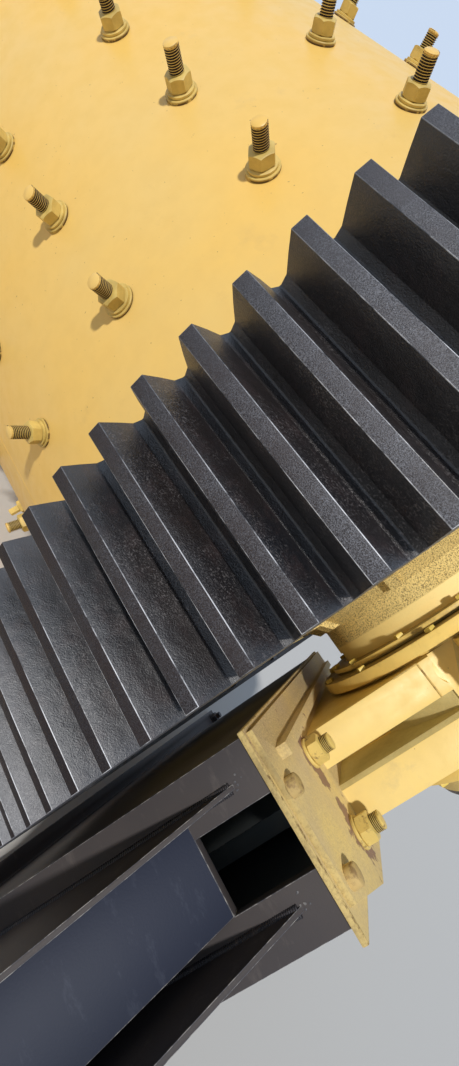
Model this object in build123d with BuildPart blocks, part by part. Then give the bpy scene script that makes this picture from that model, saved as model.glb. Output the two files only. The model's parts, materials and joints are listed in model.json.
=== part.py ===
from build123d import *
from math import acos, cos, pi, radians, sin, tan
import os

# A trunnion-supported ball mill, in millimetres. X is the axis the drum turns about, with the geared
# discharge end at +X. Z is up. The origin is on the floor, midway between the two bearings.
# Distances called "out" are measured along X from the seat of a head, away from the drum.

# Drum
axis_height = 1200
shell_length = 3000
shell_outer_radius = 790
shell_wall = 16
shell_flange_height = 95
shell_flange_thickness = 30
liner_thickness = 24
liner_rows = 18
liner_row_angle = 8.8
liner_end_clearance = 5
lifter_width = 70
lifter_height = 42
lifter_side_angle = 70

# Manhole in the back of the shell
manhole_length = 440
manhole_width = 320
manhole_corner = 60
manhole_angle = 188.8
manhole_frame_width = 55
manhole_frame_height = 30
manhole_cover_thickness = 22
handle_length = 180
handle_height = 60
handle_bend = 25
handle_rod_radius = 9

# Heads and trunnions
head_flange_thickness = 35
head_wall = 60
head_cone_step = 115
head_spigot = 20
spigot_clearance = 4
neck_out = 75
neck_fillet = 50
rough_neck_length = 114
rough_neck_allowance = 4
journal_radius = 255
trunnion_bore_radius = 200
trunnion_out = 560
head_rib_count = 8
head_rib_thickness = 28
head_rib_height = 24
head_rib_end_out = 123
head_rib_end_height = 26
head_rib_angle = -10

# Throat liner in each trunnion
throat_wall = 26
throat_clearance = 2
throat_flange_radius = 245
throat_flange_thickness = 18

# Girth gear, in two halves bolted together
gear_module = 14
gear_teeth = 150
gear_pressure_angle = 20
gear_face_width = 190
gear_root_relief = 4.2
gear_rim_depth = 48
gear_web_thickness = 30
gear_web_set_in = 55
gear_phase = 0.34
gear_bore_clearance = 2
gear_half_ribs = 12
gear_rib_thickness = 18
gear_rib_clearance = 10
gear_rib_set_in = 10
gear_rib_slope = 35
gear_joint_lug = 34

# Trunnion bearing
bearing_out = 264
bearing_width = 189
bearing_half_width = 335
bearing_shoulder_below_axis = 92
bearing_panel_width = 73
bearing_groove_width = 38
bearing_groove_depth = 150
bearing_groove_wall = 22
bearing_groove_chamfer = 8
bearing_arch_radius = 326
scallop_radius = 34
scallop_depth = 9
bush_wall = 45
journal_clearance = 0.3
joint_flange_thickness = 32
joint_flange_reach = 392
cap_clearance = 8
cap_port_radius = 45
cap_port_height = 40
seal_clearance = 3
seal_ring_radius = 303
seal_ring_thickness = 10
cover_ring_radius = 345
cover_ring_thickness = 27
cover_ring_set_off = 8
cover_hub_radius = 318
cover_neck_radius = 285
cover_neck_length = 6

# Bearing foot, and the sole plate under it
foot_below_axis = 389
foot_thickness = 11
foot_out = 171
foot_width = 331
foot_end_margin = 3
foot_corner_out = 72
foot_corner_along = 165
foot_rib_thickness = 21
foot_rib_out = 219
foot_rib_end_margin = 51
foot_rib_height = 20
sole_thickness = 11
sole_out = 163
sole_width = 309
sole_end_overhang = 6

# Pedestal: plates welded into a box, with raking gussets and covers down to the floor
pedestal_out = 171
pedestal_width = 279
pedestal_half_length = 600
panel_thickness = 16
end_web_thickness = 14
middle_web_out = 345
middle_web_thickness = 36
middle_web_set_back = 225
window_out = 258
window_width = 111
window_height = 147
gusset_thickness = 8
far_gusset_out = 220
near_gusset_out = 398
gusset_below_axis = 459
gusset_slope = 53
cover_thickness = 14
cover_near_out = 369
foot_plate_thickness = 25
foot_plate_margin = 45
foundation_bolt_radius = 18
foundation_bolt_inset = 45

shell_bore_radius = shell_outer_radius - shell_wall
shell_flange_radius = shell_outer_radius + shell_flange_height
liner_inner_radius = shell_bore_radius - liner_thickness
head_cone_radius = shell_flange_radius - head_cone_step
bearing_far_out = bearing_out + bearing_width
bush_outer_radius = journal_radius + journal_clearance + bush_wall
foot_top = axis_height - foot_below_axis
foot_half_length = pedestal_half_length - foot_end_margin
sole_half_length = pedestal_half_length + sole_end_overhang
sole_top = foot_top - foot_thickness
sole_bottom = sole_top - sole_thickness
gusset_tip = axis_height - gusset_below_axis
window_bottom = sole_bottom - window_height
gusset_run = (gusset_tip - foot_plate_thickness) / tan(radians(gusset_slope))
cover_run = (window_bottom - foot_plate_thickness) / tan(radians(gusset_slope))

drum_centre = -gear_web_thickness / 2
shell_start = drum_centre - shell_length / 2
shell_end = drum_centre + shell_length / 2

mill_axis = Axis((0, 0, axis_height), (1, 0, 0))
side_plane = Plane(origin=(0, 0, axis_height), x_dir=(1, 0, 0), z_dir=(0, -1, 0))

# Each end: the way out along X, where its head seats, and how far from the shell that is
ends = {
    "discharge": (1, shell_end + gear_web_thickness, gear_web_thickness),
    "feed": (-1, shell_start, 0),
}

os.makedirs("parts", exist_ok=True)


def save(builder, name):
    """Label the finished piece and write it as one STEP file."""
    builder.part.label = name
    export_step(builder.part, f"parts/{name}.step")


def place(end, out):
    """The X of a distance out from the head's seat."""
    side, seat, packing = ends[end]
    return seat + side * out


def across(end, out, height=0):
    """The plane across the axis at a distance out, facing away from the drum, with Y to the left or right."""
    side = ends[end][0]
    return Plane(origin=(place(end, out), 0, height), x_dir=(0, side, 0), z_dir=(side, 0, 0))


def revolved(end, points):
    """Turn a closed profile of (out, radius) points about the mill's axis."""
    with BuildSketch(side_plane) as profile:
        with BuildLine():
            Polyline([(place(end, out), radius) for out, radius in points], close=True)
        make_face()
    revolve(profile.sketch, axis=mill_axis)


def radial_plane(angle, x=drum_centre):
    """The plane whose normal is the drum's radius at this angle, counted upwards from the -Y side."""
    a = radians(angle)
    return Plane(origin=(x, 0, axis_height), x_dir=(1, 0, 0), z_dir=(0, -cos(a), sin(a)))


def meridian_plane(angle):
    """The plane through the axis at this angle: its X is the mill's X and its Y is the radius."""
    a = radians(angle)
    return Plane(origin=(0, 0, axis_height), x_dir=(1, 0, 0), z_dir=(0, -sin(a), -cos(a)))


# Shell: a rolled tube, with the manhole cut through its back
tube_start = shell_start + shell_flange_thickness
tube_length = shell_length - 2 * shell_flange_thickness
with BuildPart() as shell:
    with BuildSketch(Plane.YZ.offset(tube_start)):
        with Locations((0, axis_height)):
            Circle(shell_outer_radius)
            Circle(shell_bore_radius, mode=Mode.SUBTRACT)
    extrude(amount=tube_length)
    with BuildSketch(radial_plane(manhole_angle)):
        RectangleRounded(manhole_length, manhole_width, manhole_corner)
    extrude(amount=shell_flange_radius, mode=Mode.SUBTRACT)
save(shell, "shell")

# Wear liners inside the shell, with one lifter bar along each row of liner bolts
liner_length = shell_length - 2 * (head_spigot + liner_end_clearance)
liner_start = drum_centre - liner_length / 2
lifter_embedding = liner_thickness / 2
lifter_depth = lifter_height + lifter_embedding
with BuildPart() as shell_liners:
    with BuildSketch(Plane.YZ.offset(liner_start)):
        with Locations((0, axis_height)):
            Circle(shell_bore_radius)
            Circle(liner_inner_radius, mode=Mode.SUBTRACT)
    extrude(amount=liner_length)
    for row in range(liner_rows):
        row_plane = radial_plane(liner_row_angle + row * 360 / liner_rows, liner_start)
        with BuildSketch(Plane(origin=row_plane.origin, x_dir=row_plane.z_dir, z_dir=(1, 0, 0))):
            with Locations((liner_inner_radius + lifter_embedding - lifter_depth / 2, 0)):
                Trapezoid(lifter_width, lifter_depth, lifter_side_angle, rotation=90)
        extrude(amount=liner_length)
save(shell_liners, "shell_liners")

# Manhole frame: a ring of flat bar, cut to the shell's curve
frame_top = shell_outer_radius + manhole_frame_height
with BuildPart() as manhole_frame:
    with BuildSketch(radial_plane(manhole_angle)):
        RectangleRounded(
            manhole_length + 2 * manhole_frame_width,
            manhole_width + 2 * manhole_frame_width,
            manhole_corner + manhole_frame_width,
        )
        RectangleRounded(manhole_length, manhole_width, manhole_corner, mode=Mode.SUBTRACT)
    extrude(amount=frame_top)
    with BuildSketch(Plane.YZ.offset(tube_start)):
        with Locations((0, axis_height)):
            Circle(shell_outer_radius)
    extrude(amount=tube_length, mode=Mode.SUBTRACT)
save(manhole_frame, "manhole_frame")

# Manhole cover with one bent rod handle
with BuildPart() as manhole_cover:
    cover_plane = radial_plane(manhole_angle).offset(frame_top)
    with BuildSketch(cover_plane):
        RectangleRounded(
            manhole_length + 2 * manhole_frame_width,
            manhole_width + 2 * manhole_frame_width,
            manhole_corner + manhole_frame_width,
        )
    extrude(amount=manhole_cover_thickness)
    handle_base = cover_plane.offset(manhole_cover_thickness)
    handle_plane = Plane(origin=handle_base.origin, x_dir=handle_base.x_dir, z_dir=-handle_base.y_dir)
    with BuildLine(handle_plane) as handle_path:
        FilletPolyline(
            (-handle_length / 2, -1), (-handle_length / 2, handle_height),
            (handle_length / 2, handle_height), (handle_length / 2, -1),
            radius=handle_bend,
        )
    with BuildSketch(Plane(origin=handle_path.line @ 0, z_dir=handle_path.line % 0)):
        RegularPolygon(handle_rod_radius, 8)
    sweep()
save(manhole_cover, "manhole_cover")


def build_shell_flange(end):
    """The flange ring welded to the shell's end, which the head or the gear is bolted to."""
    outer_face = -ends[end][2]
    inner_face = outer_face - shell_flange_thickness
    with BuildPart() as shell_flange:
        revolved(end, [
            (inner_face, shell_bore_radius), (inner_face, shell_flange_radius),
            (outer_face, shell_flange_radius), (outer_face, shell_bore_radius),
        ])
    save(shell_flange, f"{end}_shell_flange")


neck_radius = journal_radius + rough_neck_allowance
neck_end = neck_out + neck_fillet
rough_out = neck_out + rough_neck_length


def build_head(end):
    """A cast head: bolting flange, spigot, ribbed cone, and the root that the trunnion stands on."""
    spigot = head_spigot + ends[end][2]
    spigot_radius = shell_bore_radius - spigot_clearance
    cone_inner = neck_out - head_wall
    rib_end = neck_radius + head_rib_end_height
    with BuildPart() as head:
        revolved(end, [
            (0, shell_flange_radius), (head_flange_thickness, shell_flange_radius),
            (head_flange_thickness, head_cone_radius), (neck_out, neck_radius + neck_fillet),
            (neck_end, neck_radius), (neck_end, trunnion_bore_radius),
            (neck_out, trunnion_bore_radius), (cone_inner, journal_radius + neck_fillet),
            (head_flange_thickness - head_wall, head_cone_radius - head_wall),
            (-spigot, spigot_radius - head_wall), (-spigot, spigot_radius), (0, spigot_radius),
        ])
        rib = [
            (head_flange_thickness / 2, head_cone_radius),
            (head_flange_thickness + head_rib_height, head_cone_radius),
            (neck_out + head_rib_height, neck_radius + neck_fillet), (head_rib_end_out, rib_end),
            (head_rib_end_out, neck_radius), (neck_out, neck_radius),
        ]
        for i in range(head_rib_count):
            with BuildSketch(meridian_plane(head_rib_angle + i * 360 / head_rib_count)):
                with BuildLine():
                    Polyline([(place(end, out), radius) for out, radius in rib], close=True)
                make_face()
            extrude(amount=head_rib_thickness / 2, both=True)
    save(head, f"{end}_head")


def build_trunnion(end):
    """The hollow trunnion: left rough as cast beside the head, and turned smooth for its journal."""
    with BuildPart() as trunnion:
        revolved(end, [
            (neck_end, neck_radius), (rough_out, neck_radius), (rough_out, journal_radius),
            (trunnion_out, journal_radius), (trunnion_out, trunnion_bore_radius),
            (neck_end, trunnion_bore_radius),
        ])
    save(trunnion, f"{end}_trunnion")


def build_throat_liner(end):
    """The wear sleeve in the trunnion's bore, held by a flange at its outer end."""
    outer = trunnion_bore_radius - throat_clearance
    inner = outer - throat_wall
    with BuildPart() as throat_liner:
        revolved(end, [
            (neck_out, outer), (trunnion_out, outer), (trunnion_out, throat_flange_radius),
            (trunnion_out + throat_flange_thickness, throat_flange_radius),
            (trunnion_out + throat_flange_thickness, inner), (neck_out, inner),
        ])
    save(throat_liner, f"{end}_throat_liner")


for end in ends:
    build_shell_flange(end)
    build_head(end)
    build_trunnion(end)
    build_throat_liner(end)

# Girth gear teeth: each flank runs through three points of its involute down to a relieved root
pitch_radius = gear_module * gear_teeth / 2
tip_radius = pitch_radius + gear_module
root_radius = pitch_radius - 1.25 * gear_module
base_radius = pitch_radius * cos(radians(gear_pressure_angle))


def involute(angle):
    return tan(angle) - angle


def flank_angle(radius):
    """Half the angle that a tooth takes up at this radius, in radians."""
    pressure = acos(base_radius / radius)
    return pi / (2 * gear_teeth) + involute(radians(gear_pressure_angle)) - involute(pressure)


def at(radius, angle):
    """A point of the gear's outline, in the gear plane, at an angle in radians from its X axis."""
    return Vector(radius * cos(angle), radius * sin(angle))


def gear_plane(x):
    """The plane across the gear at this X, whose own X axis points at the middle of the front half."""
    return Plane(origin=(x, 0, axis_height), x_dir=radial_plane(gear_phase).z_dir, z_dir=(1, 0, 0))


gear_start = shell_end - gear_web_set_in
gear_end = gear_start + gear_face_width
web_start = gear_start + gear_web_set_in
rim_radius = root_radius - gear_rim_depth
rib_foot_radius = shell_flange_radius + gear_rib_clearance
web_bore_radius = shell_bore_radius - spigot_clearance + gear_bore_clearance
half_teeth = gear_teeth // 2
tooth_pitch = 2 * pi / gear_teeth
relief_radius = root_radius + gear_root_relief
root_edge = flank_angle(root_radius) + gear_root_relief / root_radius
joint_angle = pi / 2

# Front half: the web and its ribs first, and then the rim with its teeth
with BuildPart() as girth_gear_front_half:
    with BuildSketch(gear_plane(web_start)):
        Circle(rim_radius + gear_rib_set_in)
        Circle(web_bore_radius, mode=Mode.SUBTRACT)
        with Locations((-tip_radius, 0)):
            Rectangle(2 * tip_radius, 2 * tip_radius, mode=Mode.SUBTRACT)
    extrude(amount=gear_web_thickness)
    rib_outline = [
        (gear_start + gear_rib_set_in, rim_radius + gear_rib_set_in),
        (gear_start + gear_rib_set_in, rim_radius - gear_rib_set_in),
        (web_start - gear_rib_set_in, rib_foot_radius),
        (web_start + gear_web_thickness + gear_rib_set_in, rib_foot_radius),
        (gear_end - gear_rib_slope, rim_radius - gear_rib_slope),
        (gear_end - gear_rib_set_in, rim_radius - gear_rib_set_in),
        (gear_end - gear_rib_set_in, rim_radius + gear_rib_set_in),
    ]
    rib_pitch = 180 / gear_half_ribs
    for i in range(gear_half_ribs):
        with BuildSketch(meridian_plane(gear_phase - 90 + rib_pitch * (i + 0.5))):
            with BuildLine():
                Polyline(rib_outline, close=True)
            make_face()
        extrude(amount=gear_rib_thickness / 2, both=True)
    for way in (-1, 1):
        with BuildSketch(meridian_plane(gear_phase + way * 90)):
            with BuildLine():
                Polyline(rib_outline, close=True)
            make_face()
        extrude(amount=way * gear_joint_lug)
    with BuildSketch(gear_plane(gear_start)):
        with BuildLine():
            rim_top = at(rim_radius, joint_angle)
            rim_bottom = at(rim_radius, -joint_angle)
            last_root = at(root_radius, -joint_angle)
            Line(rim_bottom, last_root)
            for i in range(half_teeth):
                middle = tooth_pitch * (i + 0.5) - joint_angle
                tips = []
                for side in (-1, 1):
                    root = at(root_radius, middle + side * root_edge)
                    flank = [
                        at(radius, middle + side * flank_angle(radius))
                        for radius in (relief_radius, pitch_radius, tip_radius)
                    ]
                    Polyline(root, *flank)
                    tips.append(flank[-1])
                Line(*tips)
                Line(last_root, at(root_radius, middle - root_edge))
                last_root = root
            Line(last_root, at(root_radius, joint_angle))
            Line(at(root_radius, joint_angle), rim_top)
            ThreePointArc(rim_top, (rim_radius, 0), rim_bottom)
        make_face()
    extrude(amount=gear_face_width)
save(girth_gear_front_half, "girth_gear_front_half")

# Back half: the same casting, turned half a turn about the mill's axis
with BuildPart() as girth_gear_back_half:
    add(girth_gear_front_half.part.rotate(mill_axis, 180))
save(girth_gear_back_half, "girth_gear_back_half")


def half_turn(points, end, upper):
    """Revolve a profile of (out, radius) points through the half turn above or below the axis."""
    with BuildSketch(Plane.XY.offset(axis_height)) as profile:
        with BuildLine():
            Polyline([(place(end, out), radius) for out, radius in points], close=True)
        make_face()
    revolve(profile.sketch, axis=mill_axis, revolution_arc=180 if upper else -180)


def build_bearing(end):
    """Everything round one journal: the housing with its foot, bush, cap, seal rings and cover rings."""
    side = ends[end][0]

    # Lower housing: a block on a long foot, bored for the bush, with a groove up each side
    with BuildPart() as housing:
        with BuildSketch(across(end, bearing_out)):
            with BuildLine():
                low = foot_top - foot_thickness / 2
                shoulder = axis_height - bearing_shoulder_below_axis
                arch = (bearing_arch_radius**2 - bearing_shoulder_below_axis**2) ** 0.5
                flange_bottom = axis_height - joint_flange_thickness
                Polyline(
                    (-bearing_half_width, low), (bearing_half_width, low), (bearing_half_width, shoulder),
                    (arch, shoulder), (arch, flange_bottom), (joint_flange_reach, flange_bottom),
                    (joint_flange_reach, axis_height), (-joint_flange_reach, axis_height),
                    (-joint_flange_reach, flange_bottom), (-arch, flange_bottom), (-arch, shoulder),
                    (-bearing_half_width, shoulder),
                    close=True,
                )
            make_face()
            with Locations((0, axis_height)):
                Circle(bush_outer_radius, mode=Mode.SUBTRACT)
        extrude(amount=bearing_width)
        groove_out = bearing_out + bearing_panel_width
        groove_height = shoulder - foot_top
        with BuildSketch(across(end, groove_out)):
            for way in (-1, 1):
                with Locations((way * bearing_half_width, foot_top + groove_height / 2)):
                    Rectangle(2 * bearing_groove_depth, groove_height)
            with Locations((0, axis_height)):
                Circle(bush_outer_radius + bearing_groove_wall, mode=Mode.SUBTRACT)
        extrude(amount=bearing_groove_width, mode=Mode.SUBTRACT)
        lip_x = place(end, groove_out + bearing_groove_width)
        lips = housing.edges().filter_by(Axis.Z).filter_by_position(Axis.X, lip_x - 1, lip_x + 1)
        chamfer([lip for lip in lips if abs(lip.center().Y) > arch], length=bearing_groove_chamfer)
        scallop_x = place(end, bearing_out + bearing_panel_width / 2)
        scallop_height = shoulder + scallop_radius - scallop_depth
        ledge = bearing_half_width - arch
        with Locations(*[(scallop_x, way * bearing_half_width, scallop_height) for way in (-1, 1)]):
            Cylinder(scallop_radius, 2 * ledge, rotation=(90, 0, 0), mode=Mode.SUBTRACT)
        with BuildSketch(Plane.XY.offset(sole_top)):
            with BuildLine():
                near = place(end, foot_out + foot_width)
                far = place(end, foot_out)
                corner = place(end, foot_out + foot_width - foot_corner_out)
                straight = foot_half_length - foot_corner_along
                Polyline(
                    (far, -foot_half_length), (corner, -foot_half_length), (near, -straight),
                    (near, straight), (corner, foot_half_length), (far, foot_half_length),
                    close=True,
                )
            make_face()
        extrude(amount=foot_thickness)
        rib_middle = place(end, foot_rib_out + foot_rib_thickness / 2)
        with Locations((rib_middle, 0, foot_top + foot_rib_height / 2)):
            Box(foot_rib_thickness, 2 * (foot_half_length - foot_rib_end_margin), foot_rib_height)
    save(housing, f"{end}_bearing_housing")

    # Bush: the lower half ring that the journal runs on
    inner = journal_radius + journal_clearance
    with BuildPart() as bush:
        half_turn([
            (bearing_out, inner), (bearing_far_out, inner),
            (bearing_far_out, bush_outer_radius), (bearing_out, bush_outer_radius),
        ], end, False)
    save(bush, f"{end}_bearing_bush")

    # Cap: the arched upper half, with its joint flanges and an inspection port on top
    cap_inner = journal_radius + cap_clearance
    with BuildPart() as cap:
        with BuildSketch(across(end, bearing_out, axis_height)):
            Circle(bearing_arch_radius)
            with Locations((0, joint_flange_thickness / 2)):
                Rectangle(2 * joint_flange_reach, joint_flange_thickness)
            Circle(cap_inner, mode=Mode.SUBTRACT)
            with Locations((0, -bearing_arch_radius)):
                Rectangle(4 * bearing_arch_radius, 2 * bearing_arch_radius, mode=Mode.SUBTRACT)
        extrude(amount=bearing_width)
        port_base = axis_height + bearing_arch_radius - cap_port_height
        with BuildSketch(Plane.XY.offset(port_base)):
            with Locations((place(end, bearing_out + bearing_width / 2), 0)):
                Circle(cap_port_radius)
        extrude(amount=2 * cap_port_height)
    save(cap, f"{end}_bearing_cap")

    # A cover ring on each face of the bearing, and a thinner seal ring outside it
    seal_inner = journal_radius + seal_clearance
    for name, face_out, way in (("inboard", bearing_out, -1), ("outboard", bearing_far_out, 1)):
        ring_start = cover_ring_set_off
        ring_end = ring_start + cover_ring_thickness
        neck_end = ring_end + cover_neck_length
        seal_end = neck_end + seal_ring_thickness
        with BuildPart() as cover_ring:
            profile = [
                (0, seal_inner), (0, cover_hub_radius), (ring_start, cover_hub_radius),
                (ring_start, cover_ring_radius), (ring_end, cover_ring_radius),
                (ring_end, cover_neck_radius), (neck_end, cover_neck_radius), (neck_end, seal_inner),
            ]
            revolved(end, [(face_out + way * depth, radius) for depth, radius in profile])
        save(cover_ring, f"{end}_{name}_cover_ring")
        with BuildPart() as seal_ring:
            profile = [
                (neck_end, seal_inner), (neck_end, seal_ring_radius),
                (seal_end, seal_ring_radius), (seal_end, seal_inner),
            ]
            revolved(end, [(face_out + way * depth, radius) for depth, radius in profile])
        save(seal_ring, f"{end}_{name}_seal_ring")


def block(end, out, width, y_low, y_high, z_low, z_high):
    """A plain plate between two outs, two Ys and two heights."""
    centre = (place(end, out + width / 2), (y_low + y_high) / 2, (z_low + z_high) / 2)
    with Locations(centre):
        Box(width, y_high - y_low, z_high - z_low)


def build_pedestal(end):
    """The welded pedestal under one bearing, with the sole plate on top and the foot plate on the floor."""
    side = ends[end][0]
    pedestal_end = pedestal_out + pedestal_width

    with BuildPart() as sole_plate:
        block(end, sole_out, sole_width, -sole_half_length, sole_half_length, sole_bottom, sole_top)
    save(sole_plate, f"{end}_sole_plate")

    for name, way in (("front", -1), ("back", 1)):
        outer = way * pedestal_half_length
        inner = way * (pedestal_half_length - panel_thickness)
        y_low, y_high = sorted((outer, inner))
        with BuildPart() as panel:
            block(end, pedestal_out, pedestal_width, y_low, y_high, foot_plate_thickness, sole_bottom)
            window_centre = place(end, window_out + window_width / 2)
            with Locations((window_centre, (y_low + y_high) / 2, window_bottom + window_height / 2)):
                Box(window_width, 2 * panel_thickness, window_height, mode=Mode.SUBTRACT)
        save(panel, f"{end}_pedestal_{name}_panel")

    web_reach = pedestal_half_length - panel_thickness
    with BuildPart() as webs:
        for out, thickness, reach in (
            (pedestal_out, end_web_thickness, web_reach),
            (middle_web_out, middle_web_thickness, web_reach - middle_web_set_back),
            (pedestal_end - end_web_thickness, end_web_thickness, web_reach),
        ):
            block(end, out, thickness, -reach, reach, foot_plate_thickness, sole_bottom)
    save(webs, f"{end}_pedestal_webs")

    # Raking gussets, two on each face of the box
    with BuildPart() as gussets:
        for out in (far_gusset_out, near_gusset_out):
            for way in (-1, 1):
                with BuildSketch(Plane.YZ.offset(place(end, out))):
                    with BuildLine():
                        Polyline(
                            (way * pedestal_half_length, gusset_tip),
                            (way * (pedestal_half_length + gusset_run), foot_plate_thickness),
                            (way * pedestal_half_length, foot_plate_thickness),
                            close=True,
                        )
                    make_face()
                extrude(amount=side * gusset_thickness)
    save(gussets, f"{end}_pedestal_gussets")

    # Raking covers between the gussets, each folded down at its outer side
    cover_out = far_gusset_out + gusset_thickness
    cover_fall = cover_thickness / cos(radians(gusset_slope))
    with BuildPart() as covers:
        for way in (-1, 1):
            top = (way * pedestal_half_length, window_bottom)
            toe = (way * (pedestal_half_length + cover_run), foot_plate_thickness)
            toe_inner = (toe[0] - way * cover_fall / tan(radians(gusset_slope)), foot_plate_thickness)
            heel = (way * pedestal_half_length, window_bottom - cover_fall)
            floor_corner = (way * pedestal_half_length, foot_plate_thickness)
            with BuildSketch(Plane.YZ.offset(place(end, cover_out))):
                with BuildLine():
                    Polyline(top, toe, toe_inner, heel, close=True)
                make_face()
            extrude(amount=side * (cover_near_out - cover_out))
            with BuildSketch(Plane.YZ.offset(place(end, cover_near_out - cover_thickness))):
                with BuildLine():
                    Polyline(top, toe, floor_corner, close=True)
                make_face()
            extrude(amount=side * cover_thickness)
    save(covers, f"{end}_pedestal_raking_covers")

    plate_out = pedestal_out - foot_plate_margin
    plate_width = pedestal_width + 2 * foot_plate_margin
    plate_reach = pedestal_half_length + gusset_run + foot_plate_margin
    with BuildPart() as foot_plate:
        block(end, plate_out, plate_width, -plate_reach, plate_reach, 0, foot_plate_thickness)
        with Locations(Plane(origin=(place(end, plate_out + plate_width / 2), 0, foot_plate_thickness))):
            with GridLocations(
                plate_width - 2 * foundation_bolt_inset, 2 * (plate_reach - foundation_bolt_inset), 2, 2
            ):
                Hole(foundation_bolt_radius)
    save(foot_plate, f"{end}_pedestal_foot_plate")


for end in ends:
    build_bearing(end)
    build_pedestal(end)
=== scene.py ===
# %% [markdown]
# # A ball mill, dressed for its photograph
#
# This lesson takes a mill whose solids are already drawn and gives it everything that makes it look
# real: paint, casting skin, threads, nuts, welds and rust. The solids are never moved. Each new piece is
# set on the solid that carries it, so it is right from every side and it turns with the drum.

# %% Load the solids
import json
import random
from math import cos, pi, radians, sin, sqrt

import bpy
from mathutils import Matrix, Vector

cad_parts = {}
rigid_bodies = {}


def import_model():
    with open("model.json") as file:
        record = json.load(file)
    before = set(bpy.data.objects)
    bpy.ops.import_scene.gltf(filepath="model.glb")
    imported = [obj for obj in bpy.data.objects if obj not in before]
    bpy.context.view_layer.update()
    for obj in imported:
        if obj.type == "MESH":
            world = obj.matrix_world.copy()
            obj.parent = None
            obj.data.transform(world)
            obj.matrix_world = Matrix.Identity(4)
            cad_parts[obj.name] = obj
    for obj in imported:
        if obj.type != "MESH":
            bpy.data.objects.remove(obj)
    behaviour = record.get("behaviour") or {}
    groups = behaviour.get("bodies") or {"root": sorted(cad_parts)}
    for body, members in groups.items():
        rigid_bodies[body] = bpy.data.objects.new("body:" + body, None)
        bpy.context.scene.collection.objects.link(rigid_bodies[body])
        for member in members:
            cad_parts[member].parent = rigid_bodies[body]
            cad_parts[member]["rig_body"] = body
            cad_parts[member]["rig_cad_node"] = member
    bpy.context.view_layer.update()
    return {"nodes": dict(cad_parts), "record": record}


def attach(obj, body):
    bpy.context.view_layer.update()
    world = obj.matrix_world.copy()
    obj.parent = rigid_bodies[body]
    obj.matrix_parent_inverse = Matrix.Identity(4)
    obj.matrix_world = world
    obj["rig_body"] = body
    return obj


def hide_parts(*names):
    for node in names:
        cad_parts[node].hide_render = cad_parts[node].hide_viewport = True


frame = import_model()

# %% [markdown]
# ## The camera
#
# A camera is easiest to match when it is set first. This one stands close to the girth gear and is
# tipped on its side, so the teeth run across the picture. A short lens does the rest: it makes the near
# teeth large and lets the drum fall away.

# %% Camera
lens = bpy.data.cameras.new("mill_camera")
lens.lens = 14.236
lens.sensor_width = 36
lens.clip_start = 0.02
lens.clip_end = 60
camera = bpy.data.objects.new("mill_camera", lens)
camera.location = (1.62355, -1.27646, 1.05457)
camera.rotation_euler = (radians(77.34), radians(-52.237), radians(27.631))
bpy.context.scene.collection.objects.link(camera)
bpy.context.scene.camera = camera
print("camera at", tuple(round(v, 3) for v in camera.location))

# %% [markdown]
# ## How the finishes are mixed
#
# Every finish on the mill is a few layers of noise: a base colour, larger stains over it, fine grain in
# the relief. Wired by hand in the shader editor, each would take dozens of nodes. Here a finish is built
# by short steps instead, and each step adds a node and gives back the socket that it ends in.
#
# All patterns read Object coordinates, which are metres on the mill. So a grain of 300 means bumps about
# 3 mm across on every piece, whatever its size.

# %% Colours and nodes
def colour(red, green, blue):
    """A paint colour as read off a screen, 0 to 255, turned into the linear values of a shader."""
    screen = [value / 255 for value in (red, green, blue)]
    return tuple(v / 12.92 if v <= 0.04045 else ((v + 0.055) / 1.055) ** 2.4 for v in screen) + (1,)


def add_node(tree, kind, inputs, **settings):
    """Add one node. An input is either a plain value or the socket that feeds it."""
    node = tree.nodes.new(kind)
    for name, value in settings.items():
        setattr(node, name, value)
    for name, value in inputs.items():
        if isinstance(value, bpy.types.NodeSocket):
            tree.links.new(value, node.inputs[name])
        else:
            node.inputs[name].default_value = value
    return node


print("a mid grey of 128 is", round(colour(128, 128, 128)[0], 3), "in a shader")

# %% [markdown]
# ## The steps of a finish
#
# Four steps do most of the work. Grain is plain noise. Between stretches a narrow part of a value over
# the whole range, which turns soft noise into patches with an edge. A layer lays one colour over another,
# and relief makes bumps. The first steps below are the plumbing that these four need.

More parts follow.
